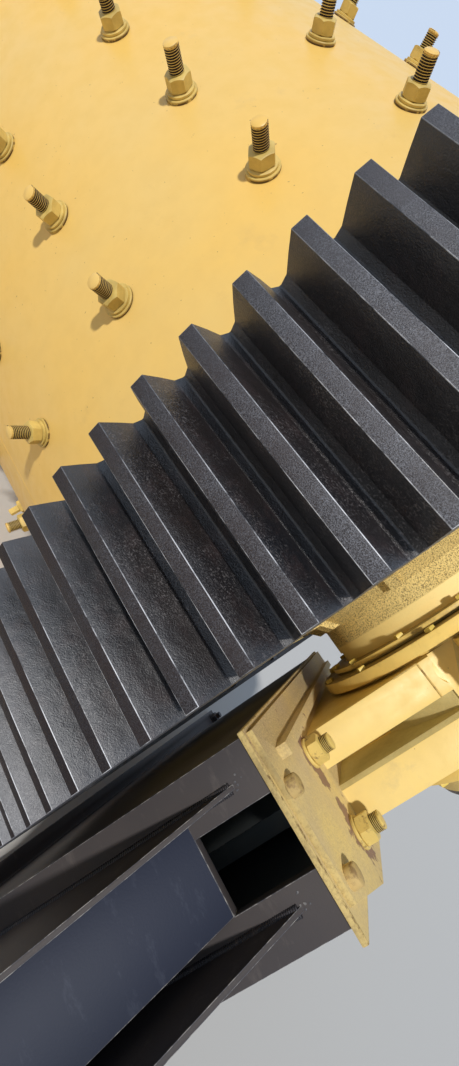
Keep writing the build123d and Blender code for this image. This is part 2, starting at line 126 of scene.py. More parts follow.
# %% Helpers for finishes
class Finish:
    """A material while it is being mixed."""

    def __init__(self, name, metallic=0.0, roughness=0.5, specular=0.5):
        self.material = bpy.data.materials.new(name)
        self.material.use_nodes = True
        self.tree = self.material.node_tree
        self.shader = self.tree.nodes["Principled BSDF"]
        self.shader.inputs["Metallic"].default_value = metallic
        self.shader.inputs["Roughness"].default_value = roughness
        self.shader.inputs["Specular IOR Level"].default_value = specular

    def step(self, kind, inputs, output, **settings):
        """Add one node and give back one of its outputs."""
        return add_node(self.tree, kind, inputs, **settings).outputs[output]

    def place(self, stretch=(1, 1, 1)):
        """Object coordinates in metres, stretched where a pattern has a direction."""
        where = self.step("ShaderNodeTexCoord", {}, "Object")
        return self.step("ShaderNodeMapping", {"Vector": where, "Scale": stretch}, "Vector")

    def along_axis(self, letter):
        """How far a point lies along X, Y or Z."""
        return self.step("ShaderNodeSeparateXYZ", {"Vector": self.place()}, letter)

    def maths(self, operation, first, second=0.0):
        """One operation of the Math node."""
        return self.step("ShaderNodeMath", {0: first, 1: second}, "Value", operation=operation)

    def times(self, first, second):
        """One value multiplied by another, which is also how one pattern masks another."""
        return self.maths("MULTIPLY", first, second)

    def distance(self, across, up):
        """The length of the line whose two legs these are."""
        return self.maths("SQRT", self.maths("ADD", self.times(across, across), self.times(up, up)))

    def grain(self, scale, detail=4, roughness=0.55, stretch=(1, 1, 1)):
        """Plain noise. The scale is the number of bumps in a metre."""
        inputs = {"Vector": self.place(stretch), "Scale": scale, "Detail": detail, "Roughness": roughness}
        return self.step("ShaderNodeTexNoise", inputs, "Fac")

    def between(self, value, low, high, to_low=0.0, to_high=1.0):
        """Stretch the part of a value between low and high over the whole range."""
        inputs = {"Value": value, "From Min": low, "From Max": high, "To Min": to_low, "To Max": to_high}
        return self.step("ShaderNodeMapRange", inputs, "Result", clamp=True)

    def patches(self, scale, low, high, detail=4, roughness=0.55):
        """Patches of noise, none where the grain is below low and full where it is above high."""
        return self.between(self.grain(scale, detail, roughness), low, high)

    def layer(self, amount, below, above, most=1.0):
        """Lay one colour over another by an amount, and nowhere more than this much."""
        if most < 1.0:
            amount = self.times(amount, most)
        return self.step("ShaderNodeMix", {0: amount, 6: below, 7: above}, 2, data_type="RGBA")

    def relief(self, height, depth, under=None):
        """Turn a height into bumps of this depth in metres, over an earlier relief if there is one."""
        inputs = {"Height": height, "Distance": depth, "Strength": 1.0}
        if under is not None:
            inputs["Normal"] = under
        return self.step("ShaderNodeBump", inputs, "Normal")

    def wear(self, base, normal=None, roughness=None, specular=None):
        """Connect the finished layers to the shader, which completes the material."""
        layers = {
            "Base Color": base, "Normal": normal, "Roughness": roughness, "Specular IOR Level": specular,
        }
        for name, output in layers.items():
            if output is not None:
                self.tree.links.new(output, self.shader.inputs[name])
        return self.material


print("steps of a finish:", ", ".join(name for name in vars(Finish) if not name.startswith("_")))

# %% [markdown]
# ## Floor
#
# A plain pale floor shows paint as it is. Only the light that bounces off it is warmer than the floor
# looks, because a grey bounce would dull the underside of the yellow paint. The floor itself can stay
# neutral, because the two are told apart by the kind of ray.

# %% Floor
bpy.ops.object.select_all(action="DESELECT")
bpy.ops.mesh.primitive_plane_add(size=40, location=(0, 0, 0))
floor = bpy.context.object
floor.name = "floor"
paint = Finish("pale_floor", roughness=0.9)
bounced = paint.step("ShaderNodeLightPath", {}, "Is Diffuse Ray")
tone = paint.layer(bounced, (0.74, 0.73, 0.71, 1), (0.84, 0.75, 0.62, 1))
floor.data.materials.append(paint.wear(tone))
print("floor:", floor.name)

# %% [markdown]
# ## Sky
#
# An even sky fills the shadows and puts no pattern on the paint. The sky that the camera sees, directly
# or in a reflection, is paler and is kept apart from the sky that lights the mill, so the background can
# be bright without bleaching the paint.

# %% Sky
sky = bpy.data.worlds.new("even_sky")
bpy.context.scene.world = sky
sky.use_nodes = True
tree = sky.node_tree
lighting = tree.nodes["Background"]
lighting.inputs["Color"].default_value = (0.66, 0.80, 1.0, 1)
lighting.inputs["Strength"].default_value = 0.29
backdrop = add_node(tree, "ShaderNodeBackground", {"Color": (0.60, 0.71, 0.88, 1)}).outputs[0]
rays = add_node(tree, "ShaderNodeLightPath", {}).outputs
seen = rays["Is Camera Ray"]
for kind in ("Is Glossy Ray", "Is Transmission Ray"):
    seen = add_node(tree, "ShaderNodeMath", {0: seen, 1: rays[kind]}, operation="MAXIMUM").outputs[0]
either_sky = add_node(tree, "ShaderNodeMixShader", {0: seen, 1: lighting.outputs[0], 2: backdrop})
tree.links.new(either_sky.outputs[0], tree.nodes["World Output"].inputs["Surface"])
bpy.context.scene.view_settings.view_transform = "Standard"
print("sky:", sky.name)

# %% [markdown]
# ## The sun
#
# The shadows of the studs point down and to the left of the picture, and the tops of the teeth are lit at a
# grazing angle. One sun lamp gives both. Its angle is a few degrees, so the edges of the shadows are soft
# but still easy to read.

# %% Sun
towards_sun = Vector((0.15, -0.85, 0.51))
lamp = bpy.data.lights.new("wide_sun", "SUN")
lamp.energy = 2.72
lamp.angle = radians(3)
lamp.color = (1.0, 0.97, 0.92)
sun = bpy.data.objects.new("wide_sun", lamp)
sun.rotation_euler = towards_sun.to_track_quat("Z", "Y").to_euler()
bpy.context.scene.collection.objects.link(sun)
print("sun from", tuple(round(v, 2) for v in towards_sun.normalized()))

# %% [markdown]
# ## Yellow paints
#
# The drum, the flanges and the bearings were sprayed with one warm yellow, but it lies differently on
# each: smooth on rolled plate and paler on the flanges. The flat faces of the rings get a dark olive
# version, which is painted shade. One recipe with a few settings keeps them related.

# %% Yellow paints
def yellow_paint(name, main, pale, stain, roughness, sand_depth, stain_edge, stain_amount):
    """Clouds of a paler tone, stains over them and a few specks, on a lightly waved skin."""
    paint = Finish(name, roughness=roughness)
    mottle = paint.patches(30, 0.38, 0.70)
    base = paint.layer(paint.patches(2.6, 0.35, 0.68, detail=5), main, pale)
    base = paint.layer(mottle, base, stain, 0.18)
    dust = paint.patches(9, stain_edge, stain_edge + 0.10, detail=6, roughness=0.7)
    base = paint.layer(dust, base, stain, stain_amount)
    specks = paint.patches(170, 0.755, 0.77, detail=2, roughness=0.4)
    base = paint.layer(specks, base, colour(120, 82, 40), 0.5)
    waves = paint.relief(paint.grain(7, 2), 0.0010, paint.relief(paint.grain(420, 3), sand_depth))
    return paint.wear(base, waves, paint.between(mottle, 0, 1, roughness - 0.08, roughness + 0.10))


shell_paint = yellow_paint(
    "shell_paint", colour(242, 199, 104), colour(234, 200, 122), colour(214, 178, 108),
    roughness=0.46, sand_depth=0.00008, stain_edge=0.62, stain_amount=0.35,
)
ring_paint = yellow_paint(
    "ring_paint", colour(246, 212, 118), colour(248, 218, 132), colour(168, 142, 78),
    roughness=0.44, sand_depth=0.00025, stain_edge=0.55, stain_amount=0.6,
)
flange_paint = yellow_paint(
    "flange_paint", colour(236, 216, 166), colour(230, 210, 164), colour(190, 166, 120),
    roughness=0.48, sand_depth=0.00012, stain_edge=0.58, stain_amount=0.5,
)
# Painted shade: a dark olive yellow for the flat faces of the rings.
ring_face_painted_shade = yellow_paint(
    "ring_face_painted_shade", colour(150, 126, 66), colour(172, 146, 80), colour(104, 86, 46),
    roughness=0.56, sand_depth=0.00030, stain_edge=0.52, stain_amount=0.6,
)
bearing_paint = yellow_paint(
    "bearing_paint", colour(238, 206, 118), colour(242, 214, 134), colour(202, 178, 118),
    roughness=0.44, sand_depth=0.00015, stain_edge=0.60, stain_amount=0.4,
)
print("shell, ring, flange and bearing paint mixed")

# %% [markdown]
# ## Cast skin
#
# The head and the trunnion are sand castings, and only the journal end of the trunnion was machined. So the
# rough skin stops at the bearing: the finish reads how far out a point lies and turns the grain off there.
# Carving the grain into the mesh would take millions of faces, so it is a bump. Its low spots are
# darkened as well, which is painted shade in the hollows of the skin.

# %% Cast paint
bearing_seat = 1.515
journal_starts = bearing_seat + 0.170
paint = Finish("cast_paint", roughness=0.58)
sand = paint.grain(380, 5, 0.7)
lumps = paint.grain(60, 4, 0.6)
from_middle = paint.maths("ABSOLUTE", paint.along_axis("X"))
rough = paint.between(from_middle, journal_starts - 0.002, journal_starts + 0.002, 1.0, 0.05)
# Painted shade: the low spots of the sand are darkened, where shade falls in the hollows.
pit_shade = paint.times(paint.between(sand, 0.50, 0.42), rough)
base = paint.layer(paint.patches(4, 0.38, 0.64), colour(248, 218, 138), colour(250, 226, 152))
base = paint.layer(pit_shade, base, colour(92, 68, 32), 0.85)
height = paint.times(paint.maths("ADD", sand, paint.times(lumps, 0.8)), rough)
cast_paint = paint.wear(base, paint.relief(height, 0.0034))
print("cast paint mixed")

# %% [markdown]
# ## The bearing foot
#
# The foot catches everything that falls from the gear: dust all over, soil under the neck, rust where
# wrenches broke the paint. It could be painted by hand on an unwrapped mesh, but the other bearing would
# need it all again. Here dust and soil are noise. The rust is noise too, pushed up near the studs and on
# two bare patches beside them, which are laid out as a few points each.

# %% Foot paint
stud_spots = ((0.285, 0.388), (0.435, 0.395))
bare_spots = ((0.318, 0.402), (0.328, 0.404), (0.325, 0.392), (0.336, 0.396), (0.384, 0.396), (0.394, 0.397))


def nearest(paint, out, aside, spots):
    """How far a point of the foot is from the nearest of these spots, in metres."""
    closest = None
    for spot_out, spot_aside in spots:
        gap_out = paint.maths("SUBTRACT", out, spot_out)
        gap_aside = paint.maths("SUBTRACT", aside, spot_aside)
        gap = paint.distance(gap_out, gap_aside)
        closest = gap if closest is None else paint.maths("MINIMUM", closest, gap)
    return closest


paint = Finish("foot_paint", roughness=0.72)
out = paint.maths("SUBTRACT", paint.maths("ABSOLUTE", paint.along_axis("X")), bearing_seat)
aside = paint.maths("ABSOLUTE", paint.along_axis("Y"))
base = paint.layer(paint.patches(6, 0.36, 0.64), colour(236, 210, 136), colour(214, 192, 146))
base = paint.layer(paint.patches(230, 0.42, 0.64, 5, 0.7), base, colour(190, 166, 126), 0.4)
under_neck = paint.between(out, 0.20, 0.275, 1.0, 0.0)
soil = paint.times(under_neck, paint.patches(280, 0.34, 0.60, 6, 0.75))
base = paint.layer(soil, base, colour(146, 118, 88), 0.65)
beside_stud = paint.between(nearest(paint, out, aside, stud_spots), 0.02, 0.075, 1.0, 0.0)
torn = paint.maths("ADD", paint.grain(22, 7, 0.68), paint.times(beside_stud, 0.25))
ragged = paint.times(paint.grain(70, 5, 0.7), 0.030)
bare_reach = paint.maths("ADD", nearest(paint, out, aside, bare_spots), ragged)
bare = paint.between(bare_reach, 0.0300, 0.0325, 1.0, 0.0)
rust = paint.maths("MAXIMUM", paint.between(torn, 0.64, 0.69), bare)
base = paint.layer(rust, base, colour(130, 95, 82), 0.85)
foot_paint = paint.wear(base, paint.relief(paint.grain(240, 5, 0.65), 0.0018))
print("foot paint mixed, with rust near", len(stud_spots), "studs")

# %% [markdown]
# ## Edges and joints of the foot
#
# The side of the foot is darker, partly stained by what ran down it and partly painted shade. The joint
# with the sole plate is a broken dark line, and the groove between the panels is painted darker and
# greyer, which is painted shade. Each is only two tones in patches, so one helper mixes them, and it
# also serves the bare metals and the worn edges further on.

# %% Two-tone finishes of the foot
def two_tones(name, first, second, patches, skin=None, depth=0.0, stretch=(1, 1, 1), **settings):
    """Two colours in patches of noise, with a finer grain as the skin."""
    paint = Finish(name, **settings)
    base = paint.layer(paint.patches(*patches), first, second)
    normal = paint.relief(paint.grain(*skin, stretch=stretch), depth) if skin else None
    return paint.wear(base, normal)


# Painted shade: the faces of the groove get a darker, greyer yellow than the panels.
groove_painted_shade = two_tones(
    "groove_painted_shade", colour(212, 194, 132), colour(196, 178, 118), (16, 0.40, 0.62, 6, 0.7),
    skin=(260, 4), depth=0.0006, roughness=0.7,
)
joint_crack = two_tones(
    "joint_crack", colour(122, 98, 58), colour(202, 178, 118), (90, 0.40, 0.54, 5, 0.7), roughness=0.8,
)
# Soil stains and painted shade: darker tones for the side faces of the foot and the sole plate.
paint = Finish("edge_soil_and_shade", roughness=0.75)
base = paint.layer(paint.patches(9, 0.40, 0.60, 6, 0.65), colour(214, 190, 126), colour(172, 152, 104))
base = paint.layer(paint.patches(200, 0.46, 0.70, 5, 0.7), base, colour(132, 110, 74), 0.5)
edge_soil_and_shade = paint.wear(base, paint.relief(paint.grain(240, 5, 0.65), 0.0014))
print("groove, joint and edge of the foot mixed")

# %% [markdown]
# ## Gear paint
#
# The gear is cast and painted a blue black that is still fairly glossy. The blue of the black also stands
# in for a painted reflection of the sky. Where the light grazes it, the sandy skin under the paint sparkles,
# so the grain is fine and the roughness varies with it. Pale dust lies in fields over the sides of the
# teeth. Low down more pale grey is laid on, partly dust splashed up from the floor and partly a painted
# sheen of the light on the teeth.

# %% Gear paint
paint = Finish("gear_paint", roughness=0.42, specular=0.95)
fine = paint.grain(900, 4, 0.6)
# The blue black tone is the paint's colour, and its blue is also a painted reflection of the sky.
base = paint.layer(paint.patches(5, 0.40, 0.62, 6, 0.6), colour(7, 9, 17), colour(26, 19, 18))
base = paint.layer(paint.between(fine, 0.62, 0.74), base, colour(50, 46, 48))
base = paint.layer(paint.patches(45, 0.50, 0.66, 6, 0.7), base, colour(56, 43, 43), 0.45)
dust = paint.times(paint.patches(13, 0.48, 0.62, 5, 0.65), paint.patches(640, 0.54, 0.64, 3, 0.6))
base = paint.layer(dust, base, colour(126, 122, 124), 0.5)
# Dust and painted sheen: the teeth are made paler grey low down.
low_down = paint.between(paint.along_axis("Z"), 0.98, 0.66)
low_dust_and_sheen = paint.times(low_down, paint.between(paint.grain(10, 6, 0.65), 0.34, 0.60, 0.12, 0.46))
base = paint.layer(low_dust_and_sheen, base, colour(134, 135, 142))
skin = paint.relief(paint.grain(90, 3), 0.0006, paint.relief(fine, 0.0005))
skin = paint.relief(paint.grain(24, 3), 0.0022, skin)
gear_paint = paint.wear(base, skin, paint.between(fine, 0.3, 0.7, 0.34, 0.50))
print("gear paint mixed")

# %% [markdown]
# ## Tops of the teeth
#
# The tops of the teeth were turned and then painted thinly, so metal shows through. The bright metal is
# strongest at the outer end of the gear and on the upper teeth, partly wear and partly a painted
# highlight. Low down the tops are painted brown, dark and less glossy, which is painted shade. Two
# coordinates, along the mill and up, are enough to mix the one into the other.

# %% Tip paint
paint = Finish("tip_paint", roughness=0.42, specular=0.7)
fine = paint.grain(1300, 4, 0.65)
outer_end = paint.between(paint.along_axis("X"), 1.43, 1.53, 0.42, 1.0)
# Painted highlight and shade: the upper tops are made brighter and glossier, the lower ones darker and
# duller.
high_up = paint.between(paint.along_axis("Z"), 0.84, 1.14, 0.16, 1.0)
glitter_and_highlight = paint.times(paint.between(fine, 0.42, 0.66), paint.times(outer_end, high_up))
base = paint.layer(glitter_and_highlight, colour(30, 24, 26), colour(124, 127, 138))
base = paint.layer(paint.patches(16, 0.42, 0.62, 7, 0.75), base, colour(46, 37, 38), 0.7)
skin = paint.relief(paint.grain(26, 3), 0.0016, paint.relief(fine, 0.0005))
gloss = paint.between(fine, 0.3, 0.7, 0.32, 0.50)
tip_paint = paint.wear(base, skin, gloss, specular=paint.between(high_up, 0.16, 1.0, 0.14, 0.7))
print("tip paint mixed")

# %% [markdown]
# ## Pedestal plate
#
# Rolled plate is smooth, so its paint shows only slow changes of tone and some long scuffs. The same recipe
# makes three tones: brown black on the panels, a dark blue slate on the raking covers, which is painted
# shade under a blue sky light, and a pale grey inside the box, which is grey primer lightened as painted
# light.

# %% Frame paint
def plate_paint(name, main, other, scuff, roughness):
    """Paint on flat plate: two close tones in clouds, and long faint scuffs."""
    paint = Finish(name, roughness=roughness, specular=0.3)
    base = paint.layer(paint.patches(3, 0.36, 0.64, detail=5), main, other)
    scuffs = paint.between(paint.grain(26, 8, 0.75, stretch=(0.35, 1, 1)), 0.56, 0.72)
    base = paint.layer(scuffs, base, scuff, 0.6)
    return paint.wear(base, paint.relief(paint.grain(320, 3), 0.00018))


frame_paint = plate_paint("frame_paint", colour(72, 67, 67), colour(61, 58, 61), colour(98, 92, 90), 0.64)
# Painted shade: the raking covers get a dark blue slate, as if in shade under a blue sky.
slate_painted_shade = plate_paint("slate_painted_shade", colour(35, 41, 59), colour(40, 46, 61), colour(72, 78, 94), 0.62)
# Painted light: the grey primer inside the box is made pale, so the webs show in its shade.
inner_primer_painted_light = plate_paint(
    "inner_primer_painted_light", colour(134, 141, 143), colour(120, 127, 130), colour(148, 150, 148), 0.7,
)
print("frame, slate and inner paint mixed")

# %% [markdown]
# ## Metal without paint
#
# Three places are bare: the wear liners, the white metal of the bearings and the grooves of the threads.
# Liners and bearings show when the drum is looked into from its ends. Two tones are enough for each, and
# the bearing's grain is stretched along the shaft, as it was scraped.

# %% Bare metals
liner_steel = two_tones(
    "liner_steel", colour(120, 114, 106), colour(92, 72, 58), (12, 0.4, 0.65, 6),
    skin=(90, 4), depth=0.0012, metallic=0.85, roughness=0.42,
)
bearing_metal = two_tones(
    "bearing_metal", colour(176, 168, 150), colour(140, 128, 108), (30, 0.4, 0.7),
    skin=(240, 2), depth=0.0002, stretch=(0.1, 1, 1), metallic=1.0, roughness=0.32,
)
thread_rust = two_tones(
    "thread_rust", colour(46, 30, 24), colour(76, 52, 34), (160, 0.4, 0.62, 5),
    skin=(700, 3), depth=0.0004, roughness=0.8,
)
worn_thread = two_tones(
    "worn_thread", colour(116, 92, 50), colour(70, 52, 30), (120, 0.42, 0.6),
    skin=(500, 3), depth=0.0003, roughness=0.6,
)
print("bare metals mixed")

# %% [markdown]
# ## Painted fasteners and welds
#
# A fastener is painted where it stands, so the coat is thick on top and missing underneath. Each kind has
# its own yellow or black and its own amount of dirt. Rough welds take the same recipe, because the brush
# misses their ripples in the same way.

# %% Paint on bolts and welds
def fastener_finish(name, main, dirt, dirt_from, roughness):
    """Thick paint over a fastener, with dirt and rust where the brush missed."""
    paint = Finish(name, roughness=roughness)
    shaded = tuple(0.82 * v for v in main[:3]) + (1,)
    base = paint.layer(paint.patches(18, 0.4, 0.65, detail=3), main, shaded)
    base = paint.layer(paint.patches(70, dirt_from, dirt_from + 0.12, 5, 0.65), base, dirt, 0.8)
    return paint.wear(base, paint.relief(paint.grain(330, 3), 0.0005))


fastener_paint = fastener_finish("fastener_paint", colour(236, 208, 122), colour(124, 94, 62), 0.57, 0.46)
dull_fastener_paint = fastener_finish(
    "dull_fastener_paint", colour(204, 176, 116), colour(140, 112, 76), 0.50, 0.7,
)
ring_bolt_paint = fastener_finish("ring_bolt_paint", colour(232, 204, 100), colour(132, 104, 48), 0.62, 0.45)
gear_fastener_paint = fastener_finish(
    "gear_fastener_paint", colour(44, 46, 52), colour(92, 72, 56), 0.60, 0.42,
)
frame_fastener_paint = fastener_finish(
    "frame_fastener_paint", colour(52, 52, 56), colour(112, 80, 58), 0.55, 0.55,
)
weld_paint = fastener_finish("weld_paint", colour(50, 48, 52), colour(84, 74, 70), 0.56, 0.5)
rough_weld = fastener_finish("rough_weld", colour(216, 188, 116), colour(138, 108, 66), 0.50, 0.6)
print("fastener and weld paints mixed")

# %% [markdown]
# ## Paint on the liner studs
#
# The studs of the liners are sprayed with the shell, and a dark ring lies round the foot of each washer:
# partly rust that has crept out from under it, partly painted shade where the washer meets the shell.
# Painting some two hundred rings by hand would be slow, but they all lie at one distance from the axis of
# the mill, so that distance alone finds them.

# %% Stud paint
axis_height = 1.2
ring_starts = 0.7915
paint = Finish("stud_paint", roughness=0.48)
above_axis = paint.maths("SUBTRACT", paint.along_axis("Z"), axis_height)
from_axis = paint.distance(paint.along_axis("Y"), above_axis)
# Rust and painted shade: a dark ring where each washer meets the shell.
ring = paint.between(from_axis, ring_starts, ring_starts + 0.003, 1.0, 0.0)
base = paint.layer(paint.patches(26, 0.40, 0.66), colour(222, 193, 110), colour(190, 163, 88))
base = paint.layer(paint.times(ring, paint.patches(90, 0.38, 0.50)), base, colour(82, 56, 30))
stud_paint = paint.wear(base, paint.relief(paint.grain(380, 3), 0.0004))
print("stud paint mixed")

# %% [markdown]
# ## Worn edges and painted highlights
#
# Paint leaves an edge first. These two finishes go only on the narrow faces that a bevel adds, so the light
# line follows every edge without any painting by hand. Noise breaks the line up, because wear is never
# even. On the gear the line is also a painted highlight of the sunlit edges, and it is strongest at the
# outer end.

# %% Worn edges
paint = Finish("gear_edge", roughness=0.40, specular=0.9)
outer_end = paint.between(paint.along_axis("X"), 1.43, 1.54, 0.15, 1.0)
# Wear and painted highlight: a bright line on the gear's edges, strongest at the outer end.
edge_wear_and_highlight = paint.times(outer_end, paint.patches(34, 0.42, 0.58, 6, 0.7))
base = paint.layer(edge_wear_and_highlight, colour(44, 44, 50), colour(206, 210, 220))
gear_edge = paint.wear(base, paint.relief(paint.grain(500, 3), 0.0003))
frame_edge = two_tones(
    "frame_edge", colour(74, 74, 80), colour(150, 148, 146), (60, 0.46, 0.62, 5, 0.6),
    skin=(300, 3), depth=0.0004, roughness=0.5,
)
print("edge finishes mixed")

# %% [markdown]
# ## Dressing the solids
#
# The name of a solid says what it is, so one word of the name picks its finish. The order of the list
# matters: the first word that fits is taken, and a bearing's name holds the letters of a ring.

# %% Give every solid its finish
finishes = {
    "flange": flange_paint, "liner": liner_steel, "shell": shell_paint, "manhole": shell_paint,
    "gear": gear_paint, "head": cast_paint, "trunnion": cast_paint, "housing": bearing_paint,
    "cap": cast_paint, "bush": bearing_metal, "ring": ring_paint, "sole": foot_paint,
    "webs": inner_primer_painted_light, "raking": slate_painted_shade, "pedestal": frame_paint,
}
for name, node in frame["nodes"].items():
    word = next(word for word in finishes if word in name)
    node.data.materials.clear()
    node.data.materials.append(finishes[word])
print("painted", len(frame["nodes"]), "solids")

# %% [markdown]
# ## Tools for modelling
#
# A fastener is lathe work: start from a circle and pull it up ring by ring. The helper below does what
# the hand does in edit mode, extrude and then scale, once for each ring. A modifier is added, set and
# applied in one go, because nothing here needs it live.

# %% Helpers for making a shape
def only(*pieces):
    """Select these pieces and nothing else, with the first one active."""
    bpy.ops.object.select_all(action="DESELECT")
    for piece in pieces:
        piece.select_set(True)
    bpy.context.view_layer.objects.active = pieces[0]


def turned(name, sides, rings):
    """Pull a filled circle up ring by ring. Each ring is a radius and a height in metres."""
    bpy.ops.object.select_all(action="DESELECT")
    radius, height = rings[0]
    bpy.ops.mesh.primitive_circle_add(
        vertices=sides, radius=radius, fill_type="NGON", location=(0, 0, height),
    )
    piece = bpy.context.object
    piece.name = name
    bpy.ops.object.transform_apply()
    bpy.ops.object.mode_set(mode="EDIT")
    bpy.ops.mesh.select_all(action="SELECT")
    for next_radius, next_height in rings[1:]:
        bpy.ops.mesh.extrude_region_move(TRANSFORM_OT_translate={"value": (0, 0, next_height - height)})
        scale = next_radius / radius
        bpy.ops.transform.resize(value=(scale, scale, 1), center_override=(0, 0, next_height))
        radius, height = next_radius, next_height
    bpy.ops.mesh.select_all(action="SELECT")
    bpy.ops.mesh.normals_make_consistent(inside=False)
    bpy.ops.object.mode_set(mode="OBJECT")
    return piece


def apply_modifier(piece, kind, **settings):
    """Add one modifier, set it and apply it."""
    only(piece)
    modifier = piece.modifiers.new(kind.lower(), kind)
    for name, value in settings.items():
        setattr(modifier, name, value)
    bpy.ops.object.modifier_apply(modifier=modifier.name)


def joined(name, pieces):
    """Several pieces made one, under this name."""
    only(*pieces)
    if len(pieces) > 1:
        bpy.ops.object.join()
    pieces[0].name = name
    return pieces[0]


# %% [markdown]
# ## Copies in their places
#
# What repeats on the mill is modelled once, standing on zero, and copied to all its places. Linked copies
# would be lighter, but here the copies become one piece, so each gets its own mesh. Dressing the piece
# names the body that carries it, which makes it turn with the drum or stay with the bearings.

# %% Helpers for setting pieces down
FIXED = "pedestals_and_bearings"
TURNING = "drum"


def standing(point, direction, turn=0.0):
    """The place of a pattern that stands on a point, with its Z along a direction."""
    upright = Vector(direction).to_track_quat("Z", "Y").to_matrix().to_4x4()
    return Matrix.Translation(Vector(point)) @ upright @ Matrix.Rotation(turn, 4, "Z")


def repeated(name, pattern, places):
    """Copies of a pattern at all its places, joined into one piece. The pattern itself goes."""
    pieces = []
    for place in places:
        piece = pattern.copy()
        piece.data = pattern.data.copy()
        piece.data.transform(place)
        bpy.context.scene.collection.objects.link(piece)
        pieces.append(piece)
    bpy.data.objects.remove(pattern)
    return joined(name, pieces)


def dressed(piece, body, slot, *finishes):
    """Give a new piece its finishes, its shading, and the body that carries it."""
    if finishes:
        piece.data.materials.clear()
    for finish in finishes:
        piece.data.materials.append(finish)
    only(piece)
    bpy.ops.object.shade_smooth_by_angle(angle=radians(35))
    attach(piece, body)
    print(piece.name, "faces:", len(piece.data.polygons))


# %% [markdown]
# ## Places round the mill
#
# Most fasteners stand in circles round the axis of the mill, and the rest stand on the bearings. Angles are
# counted in degrees from the front, upwards. A place on a bearing is counted outwards from its seat, so one
# set of numbers serves both ends.

# %% Helpers for places
shell_radius = 0.79
ends = {"discharge": 1, "feed": -1}
chance = random.Random(7)


def outward(angle):
    """The direction away from the mill's axis."""
    return Vector((0, -cos(radians(angle)), sin(radians(angle))))


def along(angle):
    """The direction in which the drum turns."""
    return Vector((0, sin(radians(angle)), cos(radians(angle))))


def around(x, radius, angle):
    """A point round the mill's axis."""
    return Vector((x, 0, axis_height)) + radius * outward(angle)


def beside(side, out, y, z):
    """A point of a bearing, this far out from its seat."""
    return (side * (bearing_seat + out), y, z)


print("a point on the front of the shell:", tuple(round(v, 3) for v in around(0, shell_radius, 0)))

# %% [markdown]
# ## Nuts
#
# A hexagon nut is a prism whose corners were turned off by a cone, which leaves the curved edges that
# everyone knows. A bevel would round the corners but not curve the edges, so the pattern is made as the
# real one is: a six-sided prism intersected with a turned blank.

# %% Nut pattern
def nut_pattern(across_flats, height):
    """A hexagon whose corners are turned off at both faces."""
    corner = across_flats / sqrt(3)
    chamfer = 0.12 * across_flats
    face, waist, slope = corner - chamfer * 0.9, corner * 1.02, chamfer * 0.55
    nut = turned("nut", 6, [(corner, 0), (corner, height)])
    blank = turned("blank", 32, [(face, 0), (waist, slope), (waist, height - slope), (face, height)])
    apply_modifier(nut, "BOOLEAN", object=blank, operation="INTERSECT", solver="EXACT")
    bpy.data.objects.remove(blank)
    return nut


print("a nut of 36 mm across its flats is", round(36 * 2 / sqrt(3), 1), "mm across its corners")

# %% [markdown]
# ## Threads
#
# A thread is a groove that climbs. It could be a stack of rings, but from close by one sees that rings
# don't climb. So a single notched line is carried up a helix by a Screw modifier, and a turned end with a
# chamfer closes the top. Crest and groove get a finish each, by how far out a face lies.

# %% Thread pattern
groove_depth = 0.72


def thread_pattern(radius, pitch, low, high, crest, groove_finish, end_finish, steps=14):
    """A helical thread from one height to another, closed at the top by a chamfered end."""
    groove = radius - groove_depth * pitch
    profile = ((radius, 0), (radius, 0.3), (groove, 0.52), (groove, 0.74), (radius, 1))
    points = [(reach, 0, low + part * pitch) for reach, part in profile]
    mesh = bpy.data.meshes.new("thread")
    mesh.from_pydata(points, [(0, 1), (1, 2), (2, 3), (3, 4)], [])
    thread = bpy.data.objects.new("thread", mesh)
    bpy.context.scene.collection.objects.link(thread)
    turns = round((high - low) / pitch)
    apply_modifier(
        thread, "SCREW", axis="Z", angle=2 * pi, screw_offset=pitch, iterations=turns, steps=steps,
        render_steps=steps, use_merge_vertices=True, merge_threshold=1e-5,
    )
    only(thread)
    bpy.ops.object.mode_set(mode="EDIT")
    bpy.ops.mesh.select_all(action="SELECT")
    bpy.ops.mesh.remove_doubles(threshold=1e-5)
    bpy.ops.mesh.normals_make_consistent(inside=False)
    bpy.ops.object.mode_set(mode="OBJECT")
    mesh.materials.append(crest)
    mesh.materials.append(groove_finish)
    crest_from = radius * cos(pi / steps) - 0.2 * pitch
    for face in mesh.polygons:
        face.material_index = 0 if Vector(face.center[:2]).length > crest_from else 1
    top = low + turns * pitch
    core, crown = groove * 0.98, radius * 0.985
    end_rings = [(core, low), (core, top - pitch), (crown, top), (crown, top + pitch * 0.7)]
    end = turned("end", steps, end_rings + [(groove * 0.96, top + pitch * 1.2)])
    end.data.materials.append(end_finish)
    return joined("thread", [thread, end])


print("a 24 mm thread with a pitch of 3 mm has grooves of", round(groove_depth * 3, 2), "mm")

# %% [markdown]
# ## A nut on its stud
#
# Nearly every nut of the mill comes with the same neighbours: a washer under it and a few turns of thread
# above it. They could be modelled again for each size. One helper makes all three, and gives the seat and
# the thread back apart, because the brush reached the one and not the grooves of the other.

# %% Nut with its washer and thread
nut_height = 0.8


def stud_and_nut(size, across_flats, washer, pitch, stand, crest, groove_finish, steps=20):
    """A washer with a true nut, and the threaded end that stands out of them."""
    radius, thickness = washer
    rim = radius * 0.97
    rings = [(rim, 0), (radius, thickness * 0.2), (radius, thickness * 0.8), (rim, thickness)]
    washer = turned("washer", 32, rings)
    nut = nut_pattern(across_flats, size * nut_height)
    nut.data.transform(Matrix.Translation((0, 0, thickness)))
    low = thickness + size * 0.7
    thread = thread_pattern(size / 2, pitch, low, low + stand, crest, groove_finish, crest, steps)
    return joined("seat", [washer, nut]), thread


